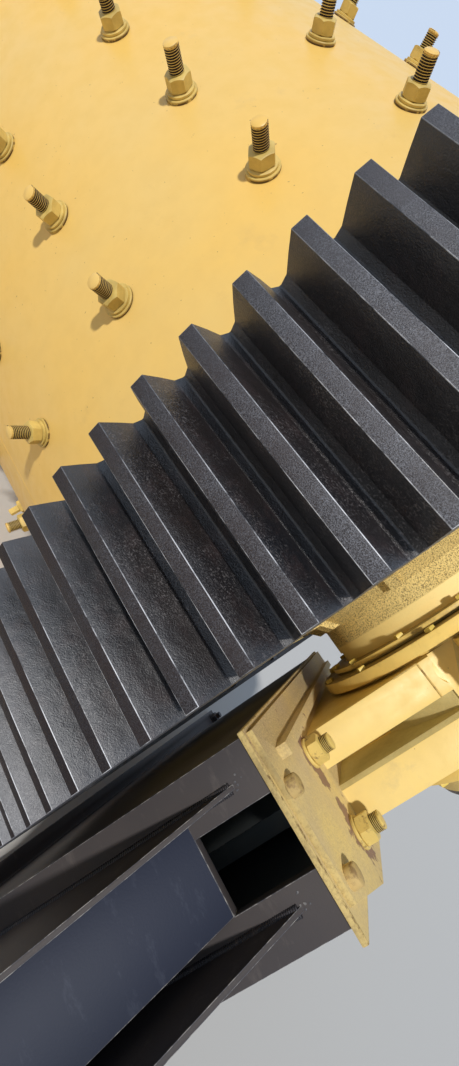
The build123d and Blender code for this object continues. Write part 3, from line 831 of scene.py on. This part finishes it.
print("the nut of a 24 mm stud is", round(24 * nut_height, 1), "mm high")

# %% [markdown]
# ## Liner studs
#
# Each wear liner is held by studs that come out through the shell, with a flat washer, a spring washer
# and a thick coat of paint over everything. Rows run along the shell every twenty degrees. The rows that
# face the camera get a true thread. The others are the same size with a few dozen faces each, which
# is all that can be seen of them.

# %% Where the studs stand
near_rows = (15, 16, 17, 0, 1, 2)
manhole_angle, manhole_x = 188.8, -0.015
near_places, far_places = [], []
for row in range(18):
    for step in range(11):
        angle, x = 8.8 + 20 * row, 1.064 - 0.2275 * step
        if abs(angle - manhole_angle) < 1 and abs(x - manhole_x) < 0.3:
            continue
        lean = Matrix.Rotation(chance.uniform(-0.03, 0.03), 4, "X")
        spot = around(x, shell_radius - 0.0004, angle)
        place = standing(spot, outward(angle), chance.uniform(0, 2 * pi)) @ lean
        (near_places if row in near_rows and step < 4 else far_places).append(place)
print("studs in view:", len(near_places), "others:", len(far_places))

# %% [markdown]
# ## True studs
#
# On these rows every part is there: a flat washer, a smaller spring washer, a chamfered nut and a helical
# thread. The rods stand a little differently, some longer and some shorter, as they do when they are fitted
# by hand.

# %% Studs in view
washer = turned("washer", 28, [(0.0252, 0), (0.0262, 0.0008), (0.0262, 0.0042), (0.0254, 0.005)])
spring = turned("spring", 24, [(0.0216, 0.005), (0.0228, 0.0058), (0.0228, 0.0084), (0.0214, 0.0092)])
nut = nut_pattern(0.036, 0.0185)
nut.data.transform(Matrix.Translation((0, 0, 0.0092)))
seat = joined("seat", [washer, spring, nut])
dressed(repeated("liner_nuts_in_view", seat, near_places), TURNING, "yellow_shell_paint", stud_paint)
thread = thread_pattern(0.0118, 0.003, 0.020, 0.056, stud_paint, thread_rust, shell_paint)
sunk = [place @ Matrix.Translation((0, 0, chance.uniform(-0.006, 0.003))) for place in near_places]
dressed(repeated("liner_threads_in_view", thread, sunk), TURNING, "yellow_shell_paint")

# %% [markdown]
# ## Plain studs
#
# The remaining rows need the same outline, not the same detail. True nuts and threads there would take
# some 380,000 more triangles, for studs that are a few pixels high. Three turned shapes of six to twelve
# sides stand for washer, nut and rod.

# %% Studs on the other rows
plain_washer = turned("washer", 12, [(0.0262, 0), (0.0262, 0.005)])
plain_nut = turned("nut", 6, [(0.0208, 0.005), (0.0208, 0.025), (0.0178, 0.0277)])
plain_rod = turned("rod", 8, [(0.0112, 0.027), (0.0112, 0.056), (0.0096, 0.058)])
plain_stud = joined("stud", [plain_washer, plain_nut, plain_rod])
other_studs = repeated("liner_studs_on_other_rows", plain_stud, far_places)
dressed(other_studs, TURNING, "yellow_shell_paint", stud_paint)

# %% [markdown]
# ## Bolts of the drum's ends
#
# At each end one ring of bolts goes through the head's flange and the shell's flange, and through the
# girth gear's web where it is sandwiched between them. The heads are plain. The nuts and their threads come
# into the picture, so they are made as the other true nuts are, with fewer steps.

# %% Flange bolts
def bolt_head(name, across_flats, height):
    """A plain hexagon head on a washer, light enough to repeat all round a flange."""
    corner, radius, seat = across_flats / sqrt(3), across_flats * 0.62, height * 0.16
    washer = turned("washer", 16, [(radius, 0), (radius, seat)])
    head = turned("head", 6, [(corner, seat), (corner, height * 0.95), (corner * 0.86, height * 1.1)])
    return joined(name, [washer, head])


flange_bolt_circle = 0.832
flange_bolts = 36
for end, outer_face, inner_face in (("discharge", 1.55, 1.455), ("feed", -1.55, -1.485)):
    heads, nuts = [], []
    for i in range(flange_bolts):
        angle = (i + 0.5) * 360 / flange_bolts
        for places, face, way in ((heads, outer_face, 1), (nuts, inner_face, -1)):
            spot = around(face, flange_bolt_circle, angle)
            places.append(standing(spot, (way * ends[end], 0, 0), chance.uniform(0, 1)))
    head = bolt_head("flange_bolt_head", 0.036, 0.016)
    nut, rod = stud_and_nut(
        0.024, 0.036, (0.022, 0.004), 0.003, 0.021, fastener_paint, thread_rust, steps=10,
    )
    dressed(repeated(f"{end}_flange_bolt_heads", head, heads), TURNING, "yellow_cast_paint", fastener_paint)
    dressed(repeated(f"{end}_flange_nuts", nut, nuts), TURNING, "yellow_cast_paint", fastener_paint)
    dressed(repeated(f"{end}_flange_threads", rod, nuts), TURNING, "yellow_cast_paint")

# %% [markdown]
# ## Joint bolts of the gear
#
# The two halves of the gear meet in flat lugs with a bolt through each pair, near the rim and again near
# the web. The bolts lie along the direction of turning. Head, nut and rod are made as one pattern, because
# the grip between them is the same at every lug.

# %% Bolts through the girth gear's joints
def bolt_and_nut(name, across_flats, height, grip):
    """A head on the far side of the grip, and a nut with the bolt's end on the near side at zero."""
    head = bolt_head("head", across_flats, height)
    head.data.transform(Matrix.Translation((0, 0, -grip)) @ Matrix.Rotation(pi, 4, "X"))
    nut = bolt_head("nut", across_flats, height * 1.25)
    rod = across_flats * 0.32
    end = turned("end", 10, [(rod, height), (rod, height * 2.1), (across_flats * 0.27, height * 2.3)])
    return joined(name, [head, nut, end])


lug = 0.034
gear_joints = (90.34, -89.66)
lug_bolts = {
    "gear_joint_bolts_outboard": (1.552, 0.953, 0.030), "gear_joint_bolts_inboard": (1.4695, 0.962, 0.024),
}
for name, (x, radius, across_flats) in lug_bolts.items():
    pattern = bolt_and_nut("joint_bolt", across_flats, across_flats * 0.42, 2 * lug)
    places = []
    for angle in gear_joints:
        spot = around(x, radius, angle) + along(angle) * lug
        places.append(standing(spot, along(angle), chance.uniform(0, 1)))
    dressed(repeated(name, pattern, places), TURNING, "black_gear_paint", gear_fastener_paint)

# %% [markdown]
# ## Manhole cover bolts
#
# The cover is held all round by small bolts, four along each long side and three along each end. They sit
# on the curved top of the cover, so each one is placed round the axis of the mill and then moved along the
# tangent.

# %% Manhole cover bolts
cover_top = 0.842
long_sides = [(x, y) for x in (-0.18, -0.06, 0.06, 0.18) for y in (-0.1875, 0.1875)]
short_ends = [(x, y) for x in (-0.2475, 0.2475) for y in (-0.1, 0, 0.1)]
pattern = bolt_head("cover_bolt", 0.024, 0.010)
places = []
for x, y in long_sides + short_ends:
    spot = around(manhole_x + x, cover_top, manhole_angle) + along(manhole_angle) * y
    places.append(standing(spot, outward(manhole_angle), chance.uniform(0, 1)))
dressed(repeated("manhole_cover_bolts", pattern, places), TURNING, "yellow_shell_paint", fastener_paint)

# %% [markdown]
# ## Bolts of the bearing rings
#
# The cover rings and seal rings are held by small square heads, thick with paint. The cover rings are
# split, so their bolts leave a gap at the joint. A four-sided turned shape is all that such a head needs,
# and each is turned a little by chance, as nobody lined them up.

# %% Ring bolts
cover_ring_angles = [way * (9.75 + 32.1 * i) for way in (-1, 1) for i in range(6)]
seal_ring_angles = [7.5 + 30 * i for i in range(12)]
square_rings = [(0.0106, -0.001), (0.0112, 0.001), (0.0112, 0.0066), (0.0098, 0.0082)]
rings = (
    (0.229, 0.331, cover_ring_angles, -1), (0.213, 0.292, seal_ring_angles, -1),
    (0.488, 0.331, cover_ring_angles, 1), (0.504, 0.292, seal_ring_angles, 1),
)
for end, side in ends.items():
    places = []
    for out, radius, angles, way in rings:
        for angle in angles:
            spot = around(side * (bearing_seat + out), radius, angle)
            places.append(standing(spot, (side * way, 0, 0), radians(angle) + chance.uniform(-0.3, 0.3)))
    square = turned("square_head", 4, square_rings)
    dressed(repeated(f"{end}_ring_bolts", square, places), FIXED, "yellow_ring_paint", ring_bolt_paint)

# %% [markdown]
# ## Cap studs
#
# Each cap is pulled down on its housing by four studs, with nuts above the joint and heads below it. They
# could be drawn afresh, but they are as thick as the flange bolts, so that pattern serves again with a
# longer end.

# %% Cap studs
cap_studs = [(out, y) for out in (0.309, 0.408) for y in (-0.359, 0.359)]
half_lug = 0.032
for end, side in ends.items():
    above, below = [], []
    for places, way in ((above, 1), (below, -1)):
        for out, y in cap_studs:
            spot = beside(side, out, y, axis_height + way * half_lug)
            places.append(standing(spot, (0, 0, way), chance.uniform(0, 1)))
    nuts, rods = stud_and_nut(0.024, 0.036, (0.022, 0.004), 0.003, 0.024, fastener_paint, thread_rust)
    dressed(repeated(f"{end}_cap_nuts", nuts, above), FIXED, "yellow_bearing_paint", fastener_paint)
    dressed(repeated(f"{end}_cap_threads", rods, above), FIXED, "yellow_bearing_paint")
    head = bolt_head("head", 0.036, 0.016)
    dressed(repeated(f"{end}_cap_stud_heads", head, below), FIXED, "yellow_bearing_paint", fastener_paint)

# %% [markdown]
# ## Inspection lids
#
# On top of each cap is a round lid with a knob, which is lifted to look at the oil. Lid and knob could be
# two cylinders, but turned in one go they are a single closed shape with softened rims. Six little bolts
# hold it down.

# %% Inspection lids
lid_rings = [
    (0.0570, 0), (0.0585, 0.0015), (0.0585, 0.0095), (0.0570, 0.011),
    (0.020, 0.0125), (0.018, 0.022), (0.015, 0.024),
]
for end, side in ends.items():
    lid_place = standing(beside(side, 0.3585, 0, axis_height + 0.366), (0, 0, 1))
    lid = repeated(f"{end}_inspection_lid", turned("lid", 40, lid_rings), [lid_place])
    dressed(lid, FIXED, "yellow_bearing_paint", fastener_paint)
    on_rim = Matrix.Translation((0.047, 0, 0.0105))
    places = [lid_place @ Matrix.Rotation(i * pi / 3, 4, "Z") @ on_rim for i in range(6)]
    bolts = repeated(f"{end}_lid_bolts", bolt_head("head", 0.013, 0.006), places)
    dressed(bolts, FIXED, "yellow_bearing_paint", fastener_paint)

# %% [markdown]
# ## Foot studs
#
# These are the largest fasteners on the machine and stand in front of the camera, so they get a fine thread
# of many turns. The bolts at the ends of the foot have plain round heads with worn rims, which a turned
# shape gives at once.

# %% Foot studs and end bolts
foot_top = 0.811
end_bolt_spots = ((0.270, 0.585), (0.412, 0.570))
end_bolt_rings = [(0.0158, 0), (0.0158, 0.0140), (0.0152, 0.0158), (0.0138, 0.0168), (0.0040, 0.0174)]


def on_foot(side, spots, turns):
    """The places of these spots on both ends of a foot."""
    places = []
    for way in (-1, 1):
        for (out, y), turn in zip(spots, turns):
            places.append(standing(beside(side, out, way * y, foot_top), (0, 0, 1), turn))
    return places


for end, side in ends.items():
    studs = on_foot(side, stud_spots, (0.35, 0.8))
    nuts, rods = stud_and_nut(
        0.032, 0.046, (0.0285, 0.006), 0.0032, 0.019, fastener_paint, worn_thread, steps=24,
    )
    dressed(repeated(f"{end}_foot_nuts", nuts, studs), FIXED, "yellow_bearing_paint", fastener_paint)
    dressed(repeated(f"{end}_foot_threads", rods, studs), FIXED, "yellow_bearing_paint")
    head = turned("head", 28, end_bolt_rings)
    end_bolts = repeated(f"{end}_foot_bolts", head, on_foot(side, end_bolt_spots, (0.2, 0.5)))
    dressed(end_bolts, FIXED, "yellow_bearing_paint", dull_fastener_paint)

# %% [markdown]
# ## Foundation bolts
#
# Four bolts come up out of the concrete through the foot plate of each pedestal. Only their ends are ever
# seen, so only the ends are made, from the foot studs' pattern in another size. Each is turned a little by
# chance, as a wrench leaves it.

# %% Foundation bolts
foot_plate = 0.025
for end, side in ends.items():
    places = []
    for out in (0.171, 0.450):
        for y in (-1.1396, 1.1396):
            places.append(standing(beside(side, out, y, foot_plate), (0, 0, 1), chance.uniform(0, 1)))
    nuts, rods = stud_and_nut(
        0.030, 0.046, (0.030, 0.006), 0.0035, 0.021, frame_fastener_paint, thread_rust,
    )
    nuts = repeated(f"{end}_foundation_nuts", nuts, places)
    dressed(nuts, FIXED, "black_frame_paint", frame_fastener_paint)
    dressed(repeated(f"{end}_foundation_threads", rods, places), FIXED, "black_frame_paint")

# %% [markdown]
# ## Rounded copies of the solids
#
# Nothing cast or flame cut has a knife edge, and it is the rounded edge that catches the light. Where an
# edge is seen, the solid is hidden and a copy stands for it: its loose triangles are merged back into
# whole faces, and a Bevel modifier rounds every edge that turns by more than an angle. The bevel can
# carry a second finish, which is how worn edges, and on the gear a painted highlight, are painted here.

# %% Helper for rounded copies
fixed_nodes = frame["record"]["behaviour"]["bodies"][FIXED]


def rounded(node, width, edge_turn=28, edge_finish=None, whole_faces=True):
    """A copy of a solid with rounded edges, which takes its place."""
    solid = frame["nodes"][node]
    piece = solid.copy()
    piece.data = solid.data.copy()
    piece.name = node + "_rounded"
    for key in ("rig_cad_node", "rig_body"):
        if key in piece:
            del piece[key]
    piece.parent = None
    bpy.context.scene.collection.objects.link(piece)
    only(piece)
    if piece.data.has_custom_normals:
        bpy.ops.mesh.customdata_custom_splitnormals_clear()
    bpy.ops.object.mode_set(mode="EDIT")
    bpy.ops.mesh.select_all(action="SELECT")
    bpy.ops.mesh.remove_doubles(threshold=2e-5)
    if whole_faces:
        bpy.ops.mesh.dissolve_limited(angle_limit=radians(0.6))
    bpy.ops.object.mode_set(mode="OBJECT")
    if edge_finish is not None:
        piece.data.materials.append(edge_finish)
    apply_modifier(
        piece, "BEVEL", width=width, segments=2, limit_method="ANGLE", angle_limit=radians(edge_turn),
        use_clamp_overlap=True, miter_outer="MITER_ARC", material=1 if edge_finish else -1,
    )
    only(piece)
    bpy.ops.object.shade_smooth_by_angle(angle=radians(30))
    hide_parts(node)
    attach(piece, FIXED if node in fixed_nodes else TURNING)
    print(piece.name, "faces:", len(piece.data.polygons))
    return piece


def add_finishes(piece, *finishes):
    """Add more finishes to a piece, and give back its faces to choose from."""
    for finish in finishes:
        piece.data.materials.append(finish)
    return piece.data.polygons


# %% [markdown]
# ## The gear
#
# The gear was cast and its teeth were then cut. A bevel rounds every edge of the teeth. The faces at the
# tip radius get the finish of the turned tops, and away from the teeth the light line of wear and painted
# highlight is taken off again, because nothing rubs there.

# %% Rounded gear
tip_radius = 1.064
for half in ("front", "back"):
    gear = rounded(f"girth_gear_{half}_half", 0.0016, edge_turn=24, edge_finish=gear_edge)
    for face in add_finishes(gear, tip_paint):
        reach = Vector((0, face.center.y, face.center.z - axis_height)).length
        if face.material_index == 0 and reach > tip_radius - 0.0015:
            face.material_index = 2
        elif reach < tip_radius - 0.005:
            face.material_index = 0

# %% [markdown]
# ## The bearing housings
#
# On the housing the finish changes from place to place: dusty on the foot, stained and painted darker as
# shade on its side, painted darker and greyer as shade in the groove between the panels, cracked along the
# joint with the sole plate. Cutting the housing up would leave seams, so it stays whole and the place of
# each face decides its finish.

# %% Rounded housings and sole plates
sole_top = 0.800
panel_starts, groove_starts, groove_ends = 0.264, 0.337, 0.381
for end in ends:
    housing = rounded(f"{end}_bearing_housing", 0.0022, whole_faces=False)
    for face in add_finishes(housing, foot_paint, joint_crack, groove_painted_shade, edge_soil_and_shade):
        out = abs(face.center.x) - bearing_seat
        if face.center.z < foot_top + 0.022:
            face.material_index = 2 if face.center.z < sole_top + 0.003 and face.normal.z < -0.1 else 1
            # Soil stains and painted shade: the side faces of the foot get darker tones.
            if abs(face.normal.y) > 0.9 and face.center.z < foot_top:
                face.material_index = 4
        # Painted shade: the faces of the groove get a darker, greyer yellow.
        elif groove_starts - 0.0005 < out < groove_ends + 0.0005 and abs(face.center.y) > 0.2:
            face.material_index = 3
    sole = rounded(f"{end}_sole_plate", 0.0022)
    for face in add_finishes(sole, joint_crack, edge_soil_and_shade):
        if face.center.z > sole_top - 0.003 and face.normal.z < 0.98:
            face.material_index = 1
        # Soil stains and painted shade on the side faces of the sole plate.
        elif abs(face.normal.y) > 0.9:
            face.material_index = 2

# %% [markdown]
# ## Caps and rings
#
# The cap is a rough casting and gets the widest rounding. The rings were turned, so theirs is finer. Their
# flat faces are painted a dark olive, which is painted shade, while the rims stay bright yellow, and a face
# that looks along the shaft is easy to find by its normal.

# %% Rounded caps and rings
for end in ends:
    rounded(f"{end}_bearing_cap", 0.003)
    for where in ("inboard", "outboard"):
        for kind, width in (("cover", 0.0018), ("seal", 0.0012)):
            ring = rounded(f"{end}_{where}_{kind}_ring", width)
            for face in add_finishes(ring, ring_face_painted_shade):
                # Painted shade on the faces that look along the shaft.
                face.material_index = 1 if abs(face.normal.x) > 0.95 else 0

# %% [markdown]
# ## The pedestals
#
# A pedestal is a box of flame cut plate with gussets and raking covers. Such plate keeps a crisp edge, so
# one millimetre of rounding is enough. The webs are a pale grey inside the box, which is primer lightened
# as painted light, and they are painted like the panels outside. They could be cut in two there, but the
# place of each face already tells which side it is on.

# %% Rounded pedestal plates
box_starts, box_ends = 0.171, 0.450
for end in ends:
    for name in ("front_panel", "back_panel", "webs", "raking_covers", "gussets", "foot_plate"):
        plates = rounded(f"{end}_pedestal_{name}", 0.0010, edge_finish=frame_edge)
        if name == "webs":
            for face in add_finishes(plates, frame_paint):
                out = abs(face.center.x) - bearing_seat
                outside = out < box_starts + 0.0005 or out > box_ends - 0.0005
                if face.material_index == 0 and outside:
                    face.material_index = 2

# %% [markdown]
# ## Welds
#
# A weld is a row of overlapping ripples. A plain tube with bumps in its finish would do from afar, but from
# close by every ripple catches the light. So one ripple is a ring pulled up to its crest and down again,
# and an Array modifier makes a run of it.

# %% Run of weld
ripple_pitch = 0.65


def weld_run(length, size):
    """A run of weld along X: one ripple, repeated until it is as long as the joint."""
    bpy.ops.object.select_all(action="DESELECT")
    bpy.ops.mesh.primitive_circle_add(
        vertices=8, radius=size * 0.82, fill_type="NOTHING", rotation=(0, pi / 2, 0),
    )
    ripple = bpy.context.object
    bpy.ops.object.transform_apply()
    bpy.ops.object.mode_set(mode="EDIT")
    bpy.ops.mesh.select_all(action="SELECT")
    for step, place, scale in ((0.45, 0.45, 1.22), (0.2, 0.65, 0.82)):
        bpy.ops.mesh.extrude_region_move(TRANSFORM_OT_translate={"value": (step * size, 0, 0)})
        bpy.ops.transform.resize(value=(1, scale, scale), center_override=(place * size, 0, 0))
    bpy.ops.object.mode_set(mode="OBJECT")
    pitch = ripple_pitch * size
    apply_modifier(
        ripple, "ARRAY", count=max(2, round(length / pitch)), use_relative_offset=False,
        use_constant_offset=True, constant_offset_displace=(pitch, 0, 0),
        use_merge_vertices=True, merge_threshold=size * 0.05,
    )
    only(ripple)
    bpy.ops.object.mode_set(mode="EDIT")
    bpy.ops.mesh.select_all(action="SELECT")
    bpy.ops.mesh.fill_holes(sides=8)
    bpy.ops.mesh.normals_make_consistent(inside=False)
    bpy.ops.object.mode_set(mode="OBJECT")
    return ripple


print("a weld of 6 mm has a ripple every", round(ripple_pitch * 6, 1), "mm")

# %% [markdown]
# ## Straight welds and hoops
#
# Most welds of the mill are straight, so a run is laid from one point to another. The weld of a flange goes
# right round the drum. Its ripples could be set down one by one, but a Curve modifier bends a finished run
# into a hoop and keeps it in one piece.

# %% Helpers for laying welds
def welds(name, runs, size):
    """Runs of weld between pairs of points, joined into one piece."""
    pieces = []
    for start, stop in runs:
        way = Vector(stop) - Vector(start)
        run = weld_run(way.length, size)
        turn = way.to_track_quat("X", "Z").to_matrix().to_4x4()
        run.data.transform(Matrix.Translation(Vector(start)) @ turn)
        pieces.append(run)
    return joined(name, pieces)


def hoop_weld(name, x, radius, size):
    """A run of weld bent round the mill's axis."""
    bpy.ops.object.select_all(action="DESELECT")
    bpy.ops.curve.primitive_bezier_circle_add(
        radius=radius, location=(x, 0, axis_height), rotation=(0, pi / 2, 0),
    )
    path = bpy.context.object
    path.data.resolution_u = 48
    run = weld_run(2 * pi * radius, size)
    run.matrix_world = path.matrix_world.copy()
    apply_modifier(run, "CURVE", object=path, deform_axis="POS_X")
    only(run)
    bpy.ops.object.transform_apply()
    bpy.data.objects.remove(path)
    run.name = name
    return run


print("the weld of a flange is", round(2 * pi * shell_radius, 2), "m long")

# %% [markdown]
# ## Pedestal welds
#
# Fillet welds run down both sides of every gusset and along the foot of every panel. They could follow the
# edges of the plates, but the corner between two plates is an edge of neither. So they are drawn as pairs
# of points, one pair for each run.

# %% Welds of the pedestals
half_length, gusset_tip = 0.600, 0.741
for end, side in ends.items():
    runs = []
    for way in (-1, 1):
        y = way * half_length
        for out in (0.220, 0.228, 0.398, 0.406):
            runs.append((beside(side, out, y, foot_plate), beside(side, out, y, gusset_tip - 0.006)))
        runs.append((beside(side, box_starts, y, foot_plate), beside(side, box_ends, y, foot_plate)))
    for out in (box_starts, box_ends):
        corners = [beside(side, out, way * half_length, foot_plate) for way in (-1, 1)]
        runs.append(corners)
    dressed(welds(f"{end}_pedestal_welds", runs, 0.006), FIXED, "black_frame_paint", weld_paint)

# %% [markdown]
# ## Spatter
#
# A welder starts a run at the tip of the gusset, and hot drops land around it. Particles could scatter
# them, but for a dozen drops at each tip a short loop is simpler. Each drop is a small ball, flattened
# against the plate, and its place is drawn by chance, close to the tip.

# %% Spatter where the gussets start
def spatter(name, centres, spread, count):
    """This many drops round each centre, small and flat against the plate."""
    bpy.ops.object.select_all(action="DESELECT")
    bpy.ops.mesh.primitive_ico_sphere_add(subdivisions=1, radius=0.0013)
    drop = bpy.context.object
    drop.data.transform(Matrix.Diagonal((1, 0.6, 1, 1)))
    places = []
    for centre in centres:
        for i in range(count):
            shift = Vector((chance.gauss(0, spread), 0, chance.gauss(0, spread * 0.8)))
            size = Matrix.Scale(chance.uniform(0.5, 1.7), 4)
            places.append(Matrix.Translation(Vector(centre) + shift) @ size)
    return repeated(name, drop, places)


for end, side in ends.items():
    centres = []
    for out in (0.224, 0.402):
        for way in (-1, 1):
            centres.append(beside(side, out, way * half_length, gusset_tip + 0.002))
    dressed(spatter(f"{end}_weld_spatter", centres, 0.008, 12), FIXED, "black_frame_paint", frame_edge)

# %% [markdown]
# ## Drum welds
#
# The shell is rolled from two courses of plate. That leaves one seam round the middle, a long seam in each
# course, and a weld where each flange meets the shell. The seams were dressed down and painted over, so
# their runs are sunk in the shell and only the crests of the ripples stand out.

# %% Welds of the drum
course_end, seam_radius, seam_size = -0.415, shell_radius - 0.0036, 0.0045
long_seams = [
    (around(course_end, seam_radius, -44), around(1.455, seam_radius, -44)),
    (around(-1.485, seam_radius, 118), around(course_end, seam_radius, 118)),
]
seams = [
    welds("shell_long_seams", long_seams, seam_size),
    hoop_weld("shell_round_seam", course_end, seam_radius, seam_size),
]
seams += [hoop_weld("flange_weld", x, shell_radius, 0.0060) for x in (-1.4845, 1.4545)]
dressed(joined("shell_welds", seams), TURNING, "yellow_shell_paint", shell_paint)

# %% [markdown]
# ## Panel welds
#
# The panels of the housing were welded on by hand and were not ground. The run is small, lightly painted
# and a little rusty. It could be drawn uneven, ripple by ripple, but at this size the eye reads the broken
# colour and not the shape, so the same ripple serves at a third of its size.

# %% Rough weld at the top of each bearing panel
panel_top = axis_height - 0.119
for end, side in ends.items():
    runs = []
    for y in (-0.335, 0.335):
        corner = beside(side, panel_starts, y, panel_top)
        runs.append((corner, beside(side, groove_starts, y, panel_top)))
        runs.append((beside(side, panel_starts, y, panel_top - 0.055), corner))
    dressed(welds(f"{end}_panel_welds", runs, 0.0022), FIXED, "yellow_bearing_paint", rough_weld)

# %% [markdown]
# ## The end
#
# Everything that shows should have the size of the solids, because the dressing never stands out past
# the machine.
